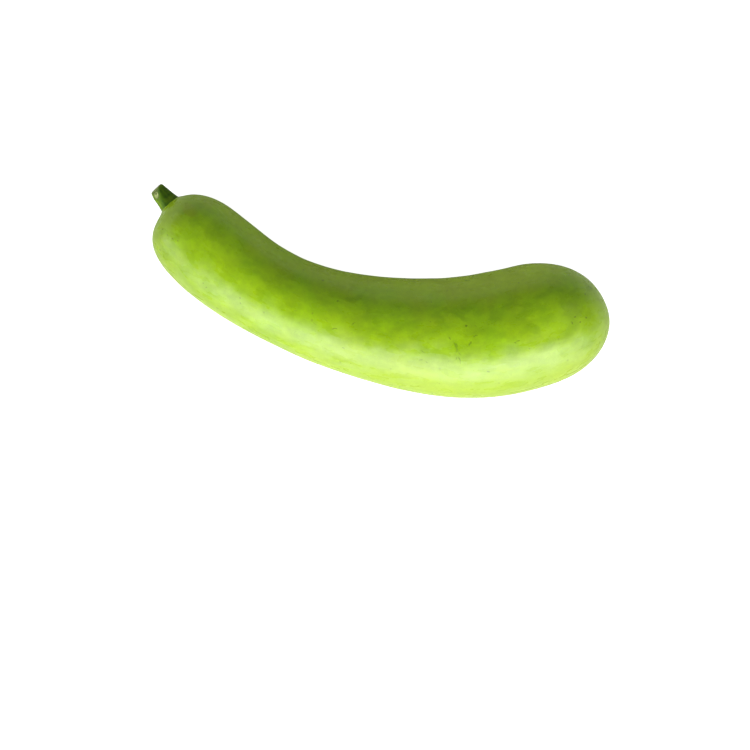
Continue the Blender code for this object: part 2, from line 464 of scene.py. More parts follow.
class Graph:
    """Lays shader nodes in a node tree and links them."""

    COLUMN, ROW, ROWS = 220.0, 260.0, 5

    def __init__(self, tree: Tree) -> None:
        """Takes the tree that the nodes go into."""
        self.tree = tree

    def node(self, kind: str, feeds: dict[str | int, Feed] | None = None, **settings: Any) -> Node:
        """Adds a node.

        Args:
            kind: The node's type.
            feeds: What goes into its inputs: another node's output, or a value.
            settings: The node's own settings.

        Returns:
            The node.
        """
        made = self.tree.nodes.new(kind)
        count = len(self.tree.nodes)
        made.location = (self.COLUMN * (count // self.ROWS), -self.ROW * (count % self.ROWS))
        for name, value in settings.items():
            setattr(made, name, value)
        for name, value in (feeds or {}).items():
            if isinstance(value, Socket):
                self.tree.links.new(value, made.inputs[name])
            else:
                made.inputs[name].default_value = value
        return made

    def calculate(self, operation: str, *values: Feed) -> Socket:
        """The result of a Math node's operation on the values."""
        return self.node("ShaderNodeMath", dict(enumerate(values)), operation=operation).outputs[0]

    def times(self, first: Feed, second: Feed) -> Socket:
        """The product of two values."""
        return self.calculate("MULTIPLY", first, second)

    def vector(self, operation: str, *values: Feed) -> Node:
        """A Vector Math node that works on the values."""
        return self.node("ShaderNodeVectorMath", dict(enumerate(values)), operation=operation)

    def stretch(self, value: Feed, low: float, high: float, start: float = 0.0, end: float = 1.0) -> Socket:
        """Maps a value from one range to another by a smooth step that stays inside the second."""
        feeds = {"Value": value, "From Min": low, "From Max": high, "To Min": start, "To Max": end}
        return self.node("ShaderNodeMapRange", feeds, interpolation_type="SMOOTHSTEP").outputs["Result"]

    def fade(self, value: Feed, low: float, high: float) -> Socket:
        """Gives 1 up to a low value, 0 from a high one, and a smooth step in between."""
        return self.stretch(value, low, high, 1.0, 0.0)

    def band(self, mask: Feed, value: Feed, start: Pair, border: Pair) -> Socket:
        """Keeps a mask only where a value lies between two soft borders."""
        return self.times(self.times(mask, self.stretch(value, *start)), self.fade(value, *border))

    def mix(self, share: Feed, low: Feed, high: Feed, **settings: Any) -> Socket:
        """A colour between two colours, at a share from 0 to 1."""
        feeds = {0: share, 6: self.opaque(low), 7: self.opaque(high)}
        return self.node("ShaderNodeMix", feeds, data_type="RGBA", **settings).outputs[2]

    def noise(self, vector: Feed, scale: Feed, detail: float = 2.0) -> Node:
        """A Noise Texture node."""
        return self.node("ShaderNodeTexNoise", {"Vector": vector, "Scale": scale, "Detail": detail})

    def coordinates(self) -> tuple[Socket, Socket]:
        """The shaded point in the object's own coordinates, and the surface's normal there."""
        made = self.node("ShaderNodeTexCoord")
        return made.outputs["Object"], made.outputs["Normal"]

    def cells(self, vector: Feed, spacing: Feed) -> tuple[Node, Node]:
        """A Voronoi Texture node whose cells stand a spacing apart, and the parts of its random colour."""
        feeds = {"Vector": vector, "Scale": self.calculate("DIVIDE", 1.0, spacing)}
        made = self.node("ShaderNodeTexVoronoi", feeds)
        return made, self.node("ShaderNodeSeparateColor", {"Color": made.outputs["Color"]})

    def part(self, vector: Feed, axis: int) -> Socket:
        """One of a vector's three parts, counted from 0."""
        return self.node("ShaderNodeSeparateXYZ", {0: vector}).outputs[axis]

    def attribute(self, name: str) -> Node:
        """An Attribute node that reads one of the piece's own attributes."""
        return self.node("ShaderNodeAttribute", attribute_name=name)

    def effect(self, group: Tree, feeds: dict[str, Feed]) -> Socket:
        """Places a node group and gives its first output."""
        return self.node("ShaderNodeGroup", feeds, node_tree=group).outputs[0]

    def pattern(self, group: Tree, pattern: Pattern, vector: Feed, **more: Feed) -> Socket:
        """The mask of a pattern that a node group draws in the given coordinates."""
        return self.effect(group, {"Vector": vector, **pattern.feeds(), **more})

    @staticmethod
    def opaque(colour: Feed) -> Feed:
        """Adds an alpha of 1 to a plain colour, and leaves a socket as it is."""
        return (*colour, 1.0) if isinstance(colour, tuple) and len(colour) == 3 else colour


class Coat(Graph):
    """A material while its colours are laid one over the other.

    Attributes:
        material: The material.
        shader: Its Principled shader.
        colour: The colour so far.
    """

    def __init__(self, name: str, ground: Colour) -> None:
        """Starts a material of one colour.

        Args:
            name: The material's name.
            ground: The colour that the others are laid on.
        """
        self.material = bpy.data.materials.new(name)
        self.material.use_nodes = True
        super().__init__(self.material.node_tree)
        self.shader = self.tree.nodes["Principled BSDF"]
        self.colour: Feed = ground

    def lay(self, mask: Feed, strength: float, over: Feed) -> None:
        """Lays a colour over the one so far where a mask is 1, at a strength from 0 to 1."""
        self.colour = self.mix(self.times(mask, strength), self.colour, over)

    def darken(self, mask: Feed, strength: float, kept: Colour) -> None:
        """Keeps only a part of the colour so far where a mask is 1, at a strength from 0 to 1."""
        self.colour = self.mix(self.times(mask, strength), self.colour, kept, blend_type="MULTIPLY")

    def finish(self, rough: Socket, shine: float, relief: Socket) -> bpy.types.Material:
        """Links the shader to what was mixed for it.

        Args:
            rough: How matt the surface is.
            shine: Its specular level.
            relief: How high it stands.

        Returns:
            The material.
        """
        bump = self.node("ShaderNodeBump", {"Strength": 1.0, "Distance": 1.0, "Height": relief}).outputs[0]
        for name, socket in (("Base Color", self.colour), ("Roughness", rough), ("Normal", bump)):
            self.tree.links.new(socket, self.shader.inputs[name])
        self.shader.inputs["Specular IOR Level"].default_value = shine
        return self.material


class Effects:
    """The shader node groups that more than one finish uses.

    Attributes:
        mottle: Soft cloudy patches of a given size, from 0 to 1.
        streaks: Soft stripes of a given length and width along the first coordinate.
        specks: Round dots, a given distance apart and so wide, on a share of the places.
        strokes: Short strokes, each turned its own way, on a share of the places.
        blemish: One soft mark of a given length and width at a place, along a direction.
    """

    def __init__(self) -> None:
        """Builds the groups."""
        self.mottle = self._mottle()
        self.streaks = self._streaks()
        self.specks = self._specks()
        self.strokes = self._strokes()
        self.blemish = self._blemish()

    @staticmethod
    def _start(name: str, floats: dict[str, float], vectors: tuple[str, ...]) -> tuple[Graph, Any]:
        """Starts a group that puts out one value.

        Args:
            name: The group's name.
            floats: Its number inputs and what they start at.
            vectors: Its vector inputs.

        Returns:
            The graph inside the group, and what comes into it.
        """
        tree = bpy.data.node_groups.new(name, "ShaderNodeTree")
        for title in vectors:
            tree.interface.new_socket(title, in_out="INPUT", socket_type="NodeSocketVector")
        for title, value in floats.items():
            socket = tree.interface.new_socket(title, in_out="INPUT", socket_type="NodeSocketFloat")
            socket.default_value = value
        tree.interface.new_socket("Mask", in_out="OUTPUT", socket_type="NodeSocketFloat")
        graph = Graph(tree)
        return graph, graph.node("NodeGroupInput").outputs

    @staticmethod
    def _end(graph: Graph, mask: Socket) -> Tree:
        """Ends a group with its output, and gives the group."""
        graph.node("NodeGroupOutput", {"Mask": mask})
        return graph.tree

    def _mottle(self) -> Tree:
        """Builds the group of soft cloudy patches.

        Returns:
            The group.
        """
        graph, given = self._start("soft_mottle", {"Size": 0.02}, ("Vector",))
        noise = graph.noise(given["Vector"], graph.calculate("DIVIDE", 1.0, given["Size"]))
        return self._end(graph, graph.stretch(noise.outputs[0], *PATCH_NOISE))

    def _streaks(self) -> Tree:
        """Builds the group of soft stripes.

        Returns:
            The group.
        """
        graph, given = self._start("long_streaks", {"Size": 0.08, "Width": 0.004}, ("Vector",))
        length, width = given["Size"], given["Width"]
        size = graph.node("ShaderNodeCombineXYZ", {"X": length, "Y": width, "Z": width}).outputs[0]
        drawn = graph.vector("DIVIDE", given["Vector"], size).outputs[0]
        noise = graph.noise(drawn, 1.0, detail=3.0)
        return self._end(graph, graph.stretch(noise.outputs[0], *STREAK_NOISE))

    def _specks(self) -> Tree:
        """Builds the group of round dots.

        Returns:
            The group.
        """
        floats = {"Spacing": 0.004, "Size": 0.0005, "Share": 0.5}
        graph, given = self._start("fine_specks", floats, ("Vector",))
        cells, draws = graph.cells(given["Vector"], given["Spacing"])
        distance = graph.times(cells.outputs["Distance"], given["Spacing"])
        radius = graph.times(given["Size"], graph.calculate("ADD", draws.outputs[1], SMALLEST_DOT))
        dot = graph.fade(graph.calculate("DIVIDE", distance, radius), *DOT_EDGE)
        chosen = graph.calculate("LESS_THAN", draws.outputs[0], given["Share"])
        return self._end(graph, graph.times(dot, chosen))

    @staticmethod
    def _oval(graph: Graph, away: Feed, along: Feed, length: Feed, width: Feed) -> Socket:
        """Draws a soft oval.

        Args:
            graph: The graph that it is drawn in.
            away: Where the shaded point lies from the oval's middle.
            along: The direction of the oval's length.
            length: Its length.
            width: Its width.

        Returns:
            1 inside the oval, 0 outside it, and less and less across its soft edge.
        """
        ahead = graph.vector("DOT_PRODUCT", away, along).outputs["Value"]
        whole = graph.vector("DOT_PRODUCT", away, away).outputs["Value"]
        ahead_squared = graph.times(ahead, ahead)
        aside_squared = graph.calculate("SUBTRACT", whole, ahead_squared)
        parts = []
        for squared, size in ((ahead_squared, length), (aside_squared, width)):
            half = graph.times(size, 0.5)
            parts.append(graph.calculate("DIVIDE", squared, graph.times(half, half)))
        return graph.fade(graph.calculate("ADD", *parts), *OVAL_EDGE)

    def _blemish(self) -> Tree:
        """Builds the group of one soft mark.

        Returns:
            The group.
        """
        floats = {"Length": 0.002, "Width": 0.0004}
        graph, given = self._start("blemish", floats, ("Vector", "Place", "Along"))
        away = graph.vector("SUBTRACT", given["Vector"], given["Place"]).outputs[0]
        return self._end(graph, self._oval(graph, away, given["Along"], given["Length"], given["Width"]))

    def _strokes(self) -> Tree:
        """Builds the group of short strokes, laid flat on the surface.

        Returns:
            The group.
        """
        floats = {"Spacing": 0.008, "Size": 0.003, "Width": 0.0005, "Share": 0.3}
        graph, given = self._start("short_strokes", floats, ("Vector", "Normal"))
        point, normal = given["Vector"], given["Normal"]
        cells, draws = graph.cells(point, given["Spacing"])
        away = graph.vector("SUBTRACT", point, cells.outputs["Position"]).outputs[0]
        depth = graph.vector("DOT_PRODUCT", away, normal).outputs["Value"]
        sunk = graph.vector("MULTIPLY", normal, depth).outputs[0]
        flat = graph.vector("SUBTRACT", away, sunk).outputs[0]
        drawn = graph.vector("SUBTRACT", cells.outputs["Color"], (0.5, 0.5, 0.5)).outputs[0]
        turned = graph.vector("NORMALIZE", drawn).outputs[0]
        stroke = self._oval(graph, flat, turned, given["Size"], given["Width"])
        lot = graph.calculate("FRACT", graph.times(draws.outputs[1], RESHUFFLE))
        chosen = graph.calculate("LESS_THAN", lot, given["Share"])
        return self._end(graph, graph.times(stroke, chosen))


@dataclass(frozen=True)
class MarkLook:
    """How a kind of mark looks: its colour, how much of the rind it hides, how far its edge wanders."""

    colour: Colour
    strength: float
    wander: float


class Mark(Enum):
    """The kinds of mark on the rind."""

    SCRATCH = MarkLook((0.170, 0.330, 0.001), 0.85, 0.0012)
    SPECK = MarkLook((0.120, 0.230, 0.001), 0.75, 0.0006)
    SMUDGE = MarkLook((0.200, 0.400, 0.002), 0.36, 0.0070)
    RUSSET = MarkLook((0.360, 0.430, 0.004), 0.38, 0.0080)


@dataclass(frozen=True)
class Blemish:
    """A mark on the upper side of the rind.

    Attributes:
        x: Its place from above, along +X.
        y: Its place from above, along +Y.
        length: Its length.
        width: Its width.
        heading: The heading of its length, in degrees from +X.
    """

    x: float
    y: float
    length: float
    width: float
    heading: float = 0.0


# Each row holds what one Blemish is made from
BLEMISHES: dict[Mark, tuple[tuple[float, ...], ...]] = {
    Mark.SCRATCH: (
        (-0.0169, -0.0216, 0.0046, 0.0009, 38.0),
        (-0.0280, -0.0246, 0.0034, 0.0009, -8.0),
        (-0.0226, -0.0359, 0.0038, 0.0007, -52.0),
        (0.0457, -0.0349, 0.0054, 0.0008, -68.0),
        (0.0483, -0.0432, 0.0050, 0.0008, -80.0),
        (0.0459, -0.0389, 0.0034, 0.0006, 70.0),
        (0.0543, -0.0340, 0.0062, 0.0009, 52.0),
        (0.0419, -0.0304, 0.0026, 0.0007, -30.0),
        (0.0575, -0.0292, 0.0028, 0.0007, 20.0),
        (0.0537, 0.0057, 0.0042, 0.0009, -35.0),
        (0.0206, 0.0054, 0.0042, 0.0008, -5.0),
        (-0.0604, 0.0243, 0.0032, 0.0008, -36.0),
        (-0.0699, 0.0323, 0.0028, 0.0007, -38.0),
        (0.0466, -0.0345, 0.0026, 0.0009, -60.0),
        (0.0472, -0.0376, 0.0024, 0.0008, -85.0),
        (0.0484, -0.0400, 0.0026, 0.0008, -40.0),
        (0.0466, -0.0424, 0.0024, 0.0008, 75.0),
        (0.0834, -0.0321, 0.0026, 0.0008, 30.0),
        (0.0822, -0.0333, 0.0022, 0.0007, -20.0),
        (0.0261, -0.0387, 0.0030, 0.0007, -35.0),
        (0.0249, -0.0436, 0.0026, 0.0007, 10.0),
        (0.0279, -0.0448, 0.0022, 0.0007, -30.0),
        (0.1289, 0.0013, 0.0030, 0.0009, -50.0),
    ),
    Mark.SPECK: (
        (0.1251, -0.0033, 0.0018, 0.0009, -45.0),
        (0.0211, 0.0065, 0.0030, 0.0009, -5.0),
        (0.0322, 0.0061, 0.0034, 0.0008, -4.0),
        (0.0522, -0.0229, 0.0016, 0.0012, 20.0),
        (0.1182, -0.0175, 0.0014, 0.0008, 20.0),
        (-0.1365, 0.0249, 0.0010, 0.0008),
        (0.1254, -0.0178, 0.0014, 0.0012),
        (0.1215, -0.0206, 0.0013, 0.0011, 40.0),
        (0.1165, -0.0212, 0.0020, 0.0008, -60.0),
        (0.0658, -0.0506, 0.0020, 0.0010, -25.0),
        (0.0729, -0.0576, 0.0014, 0.0009, -30.0),
        (-0.1090, 0.0040, 0.0012, 0.0010),
        (-0.1072, 0.0014, 0.0012, 0.0009),
        (-0.0860, -0.0054, 0.0011, 0.0010),
        (-0.0860, -0.0084, 0.0013, 0.0008, -70.0),
        (-0.1344, 0.0376, 0.0013, 0.0010, 30.0),
        (-0.1310, 0.0337, 0.0011, 0.0009),
        (-0.1277, 0.0313, 0.0014, 0.0008, -40.0),
        (-0.1245, 0.0298, 0.0011, 0.0008),
        (-0.1011, -0.0111, 0.0018, 0.0009, -35.0),
        (-0.0259, -0.0074, 0.0010, 0.0008),
        (-0.0245, -0.0447, 0.0012, 0.0009),
    ),
    Mark.SMUDGE: (
        (0.0521, -0.0209, 0.0060, 0.0045, 20.0),
        (0.0914, -0.0243, 0.0090, 0.0070, -30.0),
        (0.1290, 0.0013, 0.0060, 0.0040, -60.0),
        (-0.0152, -0.0049, 0.0090, 0.0050, 10.0),
        (-0.1339, 0.0376, 0.0080, 0.0050, -20.0),
        (-0.1291, 0.0336, 0.0090, 0.0048, -40.0),
        (-0.1240, 0.0298, 0.0090, 0.0045, -42.0),
    ),
    Mark.RUSSET: ((-0.1188, 0.0485, 0.0130, 0.0090, -40.0),),
}


@dataclass(frozen=True)
class RindFinish:
    """The waxy skin of the fruit.

    Attributes:
        greens_and_painted_light: The ground colours from the outer side of the bend to the inner, partly the
            skin's own change of green and partly painted light: the outer side, which faces the lights, is
            paler and bluer with a painted reflection of the floor, and the innermost edge is lighter with
            painted light.
        borders: From and to how far left of the middle line each of them fades into the next.
        wander: How far those borders wander.
        wax_and_painted_highlight: The pale bluish green laid on patches of thicker wax in the band where the
            highlight falls: partly the wax's own paler colour, partly a painted highlight.
        painted_highlight_start: From and to how far left of the middle line that wax, with its painted
            highlight, sets in.
        painted_highlight_border: From and to how far left of the middle line it fades out.
        deep: How much of its red, green and blue a darker patch keeps.
        olive: The browner green that tints some parts.
        pale: The green of the paler streaks and the pores.
        cork: The brown of the blossom scar.
        scar: How wide the scar is.
        seam_and_painted_shade: The dark line where the skin meets the stem.
        bloom: The patches of thicker wax, which also are more matt, and on which the painted highlight is
            laid.
        clouds, tint, patches, flecks, grain, streaks: The patterns of the skin, from wide to fine.
        patch_start: From and to how far left of the middle line the patches set in.
        patch_border: From and to how far left of the middle line they fade out.
        pores, freckles, scuffs: The pale dots, the dark dots and the short strokes.
        collar: The lighter green of the halo at both ends.
        halo: How far from the ends that halo begins and ends, and its strength.
        roughness: How matt the wax is, and how far that varies with the bloom.
        scratch_roughness: How much more matt a scratch is.
        shine: The wax's specular level.
        peel: The size of the skin's fine waves, and their height.
        pore_height: How high the pale dots stand.
        scratch_depth: How deep a scratch is.
    """

    # The outer side's paler, bluer green and the innermost edge's lighter green are partly painted light
    greens_and_painted_light: tuple[Colour, ...] = (
        (0.390, 0.545, 0.048),
        (0.505, 0.860, 0.003),
        (0.460, 0.845, 0.001),
        (0.650, 0.970, 0.015),
    )
    borders: tuple[Pair, ...] = ((-0.040, 0.004), (-0.002, 0.014), (0.013, 0.034))
    wander: float = 0.008
    wax_and_painted_highlight: Colour = (0.600, 0.780, 0.340)
    painted_highlight_start: Pair = (-0.037, -0.026)
    painted_highlight_border: Pair = (-0.016, -0.002)
    deep: Colour = (0.600, 0.680, 0.350)
    olive: Colour = (0.500, 0.660, 0.006)
    pale: Colour = (0.550, 0.840, 0.030)
    cork: Colour = (0.180, 0.110, 0.040)
    scar: float = 0.0075
    seam_and_painted_shade: Colour = (0.080, 0.150, 0.010)
    bloom: Pattern = Pattern(0.013, 0.30, width=0.006)
    clouds: Pattern = Pattern(0.034, 0.30)
    tint: Pattern = Pattern(0.017, 0.30)
    patches: Pattern = Pattern(0.010, 0.50, width=0.007)
    patch_start: Pair = (-0.036, -0.014)
    patch_border: Pair = (0.010, 0.028)
    flecks: Pattern = Pattern(0.0030, 0.20)
    grain: Pattern = Pattern(0.0010, 0.18)
    streaks: Pattern = Pattern(0.050, 0.09, width=0.0036)
    pores: Pattern = Pattern(0.0005, 0.12, spacing=0.0022, share=0.7)
    freckles: Pattern = Pattern(0.0009, 0.35, spacing=0.0060, share=0.15)
    scuffs: Pattern = Pattern(0.0030, 0.35, width=0.0005, spacing=0.0085, share=0.22)
    collar: Colour = (0.570, 0.820, 0.050)
    halo: tuple[float, float, float] = (0.002, 0.034, 0.45)
    roughness: Pair = (0.31, 0.12)
    scratch_roughness: float = 0.06
    shine: float = 0.62
    peel: Pair = (0.0025, 0.000050)
    pore_height: float = 0.000010
    scratch_depth: float = 0.00002

    def material(self, effects: Effects, fruit: "Fruit") -> bpy.types.Material:
        """Mixes the skin.

        Args:
            effects: The shared node groups.
            fruit: The fruit that is dressed, which knows where its ends and marks are.

        Returns:
            The material.
        """
        coat = Coat("rind", self.greens_and_painted_light[0])
        place, _ = coat.coordinates()
        straight = coat.attribute(STRAIGHT).outputs["Vector"]
        clouds = coat.pattern(effects.mottle, self.clouds, straight)
        bloom = coat.pattern(effects.streaks, self.bloom, straight)
        pores = coat.pattern(effects.specks, self.pores, place)
        wandering = coat.calculate("MULTIPLY_ADD", clouds, self.wander, -self.wander / 2)
        left = coat.calculate("ADD", coat.part(straight, 1), wandering)
        self._ground(coat, left, bloom)
        self._patterns(coat, effects, clouds, left)
        coat.lay(pores, self.pores.strength, self.pale)
        self._ends(coat, effects, fruit)
        scratches = self._marks(coat, effects, fruit)

        mean, spread = self.roughness
        rough = coat.calculate("MULTIPLY_ADD", bloom, spread, mean - spread / 2)
        rough = coat.calculate("MULTIPLY_ADD", scratches, self.scratch_roughness, rough)
        wave, height = self.peel
        relief = coat.times(coat.noise(place, 1 / wave).outputs[0], height)
        relief = coat.calculate("MULTIPLY_ADD", pores, self.pore_height, relief)
        relief = coat.calculate("MULTIPLY_ADD", scratches, -self.scratch_depth, relief)
        return coat.finish(rough, self.shine, relief)

    def _ground(self, coat: Coat, left: Feed, bloom: Feed) -> None:
        """Lays the ground colours, from the outer side of the bend to the inner.

        Args:
            coat: The material, in the outermost of these colours.
            left: How far left of the middle line the shaded point lies, wandering a little.
            bloom: The mask of thicker wax, which also carries the painted highlight.
        """
        _, flank, *inner_greens = self.greens_and_painted_light
        outer_border, *inner_borders = self.borders
        # Painted light: the outer side, which faces the lights, is paler and bluer with a painted reflection
        # of the floor
        coat.colour = coat.mix(coat.stretch(left, *outer_border), coat.colour, flank)
        # Paler, bluer wax in the band where the highlight falls: partly the wax's own colour, partly a
        # painted highlight
        coat.lay(coat.band(bloom, left, self.painted_highlight_start, self.painted_highlight_border), self.bloom.strength, self.wax_and_painted_highlight)
        for border, green in zip(inner_borders, inner_greens):
            coat.colour = coat.mix(coat.stretch(left, *border), coat.colour, green)

    def _patterns(self, coat: Coat, effects: Effects, clouds: Feed, left: Feed) -> None:
        """Lays the grown patterns over the ground colour.

        Args:
            coat: The material.
            effects: The shared node groups.
            clouds: The mask of the widest pattern.
            left: How far left of the middle line the shaded point lies, wandering a little.
        """
        straight = coat.attribute(STRAIGHT).outputs["Vector"]
        fanned = coat.attribute(FANNED).outputs["Vector"]
        place, normal = coat.coordinates()
        tint = coat.pattern(effects.mottle, self.tint, straight)
        patches = coat.pattern(effects.streaks, self.patches, straight)
        patches = coat.band(patches, left, self.patch_start, self.patch_border)
        flecks = coat.pattern(effects.mottle, self.flecks, place)
        grain = coat.pattern(effects.mottle, self.grain, place)
        streaks = coat.pattern(effects.streaks, self.streaks, fanned)
        scuffs = coat.pattern(effects.strokes, self.scuffs, place, Normal=normal)
        freckles = coat.pattern(effects.specks, self.freckles, place)

        coat.lay(tint, self.tint.strength, self.olive)
        coat.darken(clouds, self.clouds.strength, self.deep)
        coat.darken(patches, self.patches.strength, self.deep)
        coat.darken(flecks, self.flecks.strength, self.deep)
        coat.darken(grain, self.grain.strength, self.deep)
        coat.lay(streaks, self.streaks.strength, self.pale)
        coat.lay(scuffs, self.scuffs.strength, Mark.SCRATCH.value.colour)
        coat.lay(freckles, self.freckles.strength, Mark.SPECK.value.colour)

    def _ends(self, coat: Coat, effects: Effects, fruit: "Fruit") -> None:
        """Lays the lighter skin at both ends, a dark line round the stem that is partly painted shade, and
        the scar at the other end.

        Args:
            coat: The material.
            effects: The shared node groups.
            fruit: The fruit that is dressed.
        """
        place, _ = coat.coordinates()
        first, last, strength = self.halo
        for end in (fruit.scar_place(), fruit.foot()):
            reach = coat.vector("DISTANCE", place, tuple(end)).outputs["Value"]
            from_edge = coat.calculate("SUBTRACT", reach, fruit.lip)
            coat.lay(coat.fade(from_edge, first, last), strength, self.collar)
        # A dark line close round the stem's foot: partly a dark joint, partly painted shade where the skin
        # meets the stem
        coat.lay(coat.fade(from_edge, 0.0, first / 2), strength, self.seam_and_painted_shade)
        sizes = {"Length": self.scar, "Width": self.scar}
        round_scar = {"Vector": place, "Place": tuple(fruit.scar_place()), "Along": (0.0, 0.0, 1.0)}
        coat.colour = coat.mix(coat.effect(effects.blemish, round_scar | sizes), coat.colour, self.cork)

    @staticmethod
    def _marks(coat: Coat, effects: Effects, fruit: "Fruit") -> Socket:
        """Lays the marks over the colour.

        Args:
            coat: The material.
            effects: The shared node groups.
            fruit: The fruit that is dressed.

        Returns:
            The mask of the scratches.
        """
        place, _ = coat.coordinates()
        masks = {}
        for kind in Mark:
            reach = kind.value.wander
            waves = coat.noise(place, 1 / (2 * reach)).outputs["Color"]
            pulled = coat.vector("MULTIPLY_ADD", waves, (2 * reach,) * 3, (-reach,) * 3).outputs[0]
            torn_place = coat.vector("ADD", place, pulled).outputs[0]
            mask = 0.0
            for blemish in (Blemish(*row) for row in BLEMISHES[kind]):
                spot, direction = fruit.skin_at(blemish.x, blemish.y, blemish.heading)
                sizes = {"Length": blemish.length, "Width": blemish.width}
                laid = {"Vector": torn_place, "Place": tuple(spot), "Along": tuple(direction)}
                mask = coat.calculate("MAXIMUM", mask, coat.effect(effects.blemish, laid | sizes))
            coat.lay(mask, kind.value.strength, kind.value.colour)
            masks[kind] = mask
        return masks[Mark.SCRATCH]


@dataclass
class Fruit:
    """The fruit: its rings are drawn out along the middle line, from the root of the stem to the scar.

    Attributes:
        line: Its middle line.
        stem_end: The dome at the stem.
        blossom_end: The dome where the blossom sat.
        lip: The radius at which the skin meets the stem.
        root: The rings of skin hidden round the stem's root: radius, and height over the pole.
        socket_radius: Where the collar of skin round the stem is measured from.
        socket_sidestep: How far the stem sits off the middle line, to its left.
        collar: The collar's height, and how fast it falls away.
        scar: The rings of the blossom scar: radius, and height over the dome's pole.
        lumps: The lumps of the skin: a name, their size and their height.
        lump_level: Which share of that height lies below the even surface.
        sides: How many points a ring has before the mesh is subdivided.
        counts: How many rings the stem's dome, the middle and the blossom's dome have.
        piece: The fruit, once it is built.
    """

    line: MiddleLine
    stem_end: Dome = Dome(0.0362, 2.47)
    blossom_end: Dome = Dome(0.0535, 2.25)
    lip: float = 0.0068
    root: tuple[Pair, ...] = ((0.0036, -0.0030), (0.0062, -0.0015))
    socket_radius: float = 0.0078
    socket_sidestep: float = 0.0029
    collar: Pair = (0.0010, 0.0022)
    scar: tuple[Pair, ...] = (
        (0.0033, 0.00002),
        (0.0029, -0.00020),
        (0.0024, -0.00048),
        (0.0017, -0.00050),
        (0.0011, -0.00028),
        (0.0005, -0.00016),
    )
    lumps: tuple[tuple[str, float, float], ...] = (
        ("broad_lumps", 0.040, 0.0009),
        ("small_lumps", 0.011, 0.00022),
    )
    lump_level: float = 0.64
    sides: int = 48
    counts: tuple[int, int, int] = (17, 40, 20)
    piece: bpy.types.Object | None = field(default=None, init=False)

    def rings(self) -> list[Ring]:
        """All the rings, from the root of the stem to the middle of the scar.

        Returns:
            The rings.
        """
        line, full = self.line, self.line.radius(np.array([0.0, 1.0]))
        stem_count, middle_count, blossom_count = self.counts
        stem = list(self.stem_end.rings(self.lip / full[0], stem_count))
        blossom = list(self.blossom_end.rings(self.scar[0][0] / full[1] * SCAR_MARGIN, blossom_count))
        middle = np.linspace(
            self.stem_end.length / line.length, 1 - self.blossom_end.length / line.length, middle_count
        )
        stations = [(distance / line.length, part) for distance, part in stem]
        stations += [(share, 1.0) for share in middle]
        stations += [(1 - distance / line.length, part) for distance, part in reversed(blossom)]
        shares, parts = np.array(stations).T
        places, headings, radii = line.points(shares), line.heading(shares), parts * line.radius(shares)

        rings = [self._end_ring(0.0, radius, height) for radius, height in self.root]
        for index, (place, heading, radius) in enumerate(zip(places, headings, radii)):
            centre = Vector(place)
            if index < stem_count:
                centre += self._socket_shift(heading, radius)
            rings.append(Ring(centre, heading, radius))
        rings += [self._end_ring(1.0, radius, height) for radius, height in self.scar]
        return rings

    def _socket_shift(self, heading: float, radius: float) -> Vector:
        """How far a ring of the stem's dome is moved: aside with the stem, and out with the collar.

        Args:
            heading: The ring's heading, in radians.
            radius: Its radius.

        Returns:
            The move.
        """
        from_socket = (radius - self.socket_radius) / (self.line.neck - self.socket_radius)
        sidestep = self.socket_sidestep * (1 - float(ease(np.array(from_socket)))) ** 2
        height, spread = self.collar
        rise = height * math.exp(-(radius - self.socket_radius) / spread)
        return heading_vector(heading + math.pi / 2) * sidestep - heading_vector(heading) * rise

    def _end_ring(self, share: float, radius: float, height: float) -> Ring:
        """A ring at an end of the line.

        Args:
            share: 0 for the stem's end, and 1 for the blossom's.
            radius: The ring's radius.
            height: How far it is raised out of the fruit.

        Returns:
            The ring.
        """
        centre, heading = self.line.at(share)
        if share == 0.0:
            centre += heading_vector(heading + math.pi / 2) * self.socket_sidestep
            return Ring(centre - heading_vector(heading) * height, heading, radius)
        return Ring(centre + heading_vector(heading) * height, heading, radius)

    def scar_place(self) -> Vector:
        """Where the middle of the blossom scar is."""
        return self._end_ring(1.0, *self.scar[-1]).centre

    def foot(self) -> Vector:
        """Where the middle of the stem's foot is, level with the collar of skin."""
        return self._end_ring(0.0, self.lip, self.collar[0]).centre

    def skin_at(self, x: float, y: float, heading: float) -> tuple[Vector, Vector]:
        """Finds the skin under a point.

        Args:
            x: The point from above, along +X.
            y: The point from above, along +Y.
            heading: A heading in degrees from +X.

        Returns:
            The place on the skin, and the direction that the heading takes along it.
        """
        _, place, normal, _ = self.piece.ray_cast(Vector((x, y, 1.0)), Vector((0.0, 0.0, -1.0)))
        direction = heading_vector(math.radians(heading))
        return place, (direction - normal * direction.dot(normal)).normalized()

    def build(self) -> bpy.types.Object:
        """Models the fruit.

        Returns:
            The piece.
        """
        rings = self.rings()
        # Subdividing draws a ring inwards by this much
        spare = 3 / (2 + math.cos(2 * math.pi / self.sides))
        first = rings[0]
        turn = (math.pi / 2, 0.0, first.heading + math.pi / 2)
        clay = Clay("fruit_skin", self.sides, first.radius * spare, first.centre, turn)
        clay.close()
        for before, after in zip(rings, rings[1:]):
            clay.draw_out(after.centre - before.centre)
            clay.widen(after.radius / before.radius, after.centre)
            clay.turn(after.heading - before.heading, "Z", after.centre)
        clay.leave_edit_mode()
        clay.finish_with("SUBSURF", levels=2, render_levels=2)
        for name, size, height in self.lumps:
            clay.finish_with(
                "DISPLACE",
                texture=cloud_texture(name, size),
                texture_coords="LOCAL",
                strength=height,
                mid_level=self.lump_level,
            )
        self._rest_on_ground(clay)
        straight = self.line.straighten(clay.points())
        clay.note(STRAIGHT, straight)
        clay.note(FANNED, self.line.fan(straight))
        bpy.ops.object.shade_smooth()
        self.piece = clay.piece
        return self.piece

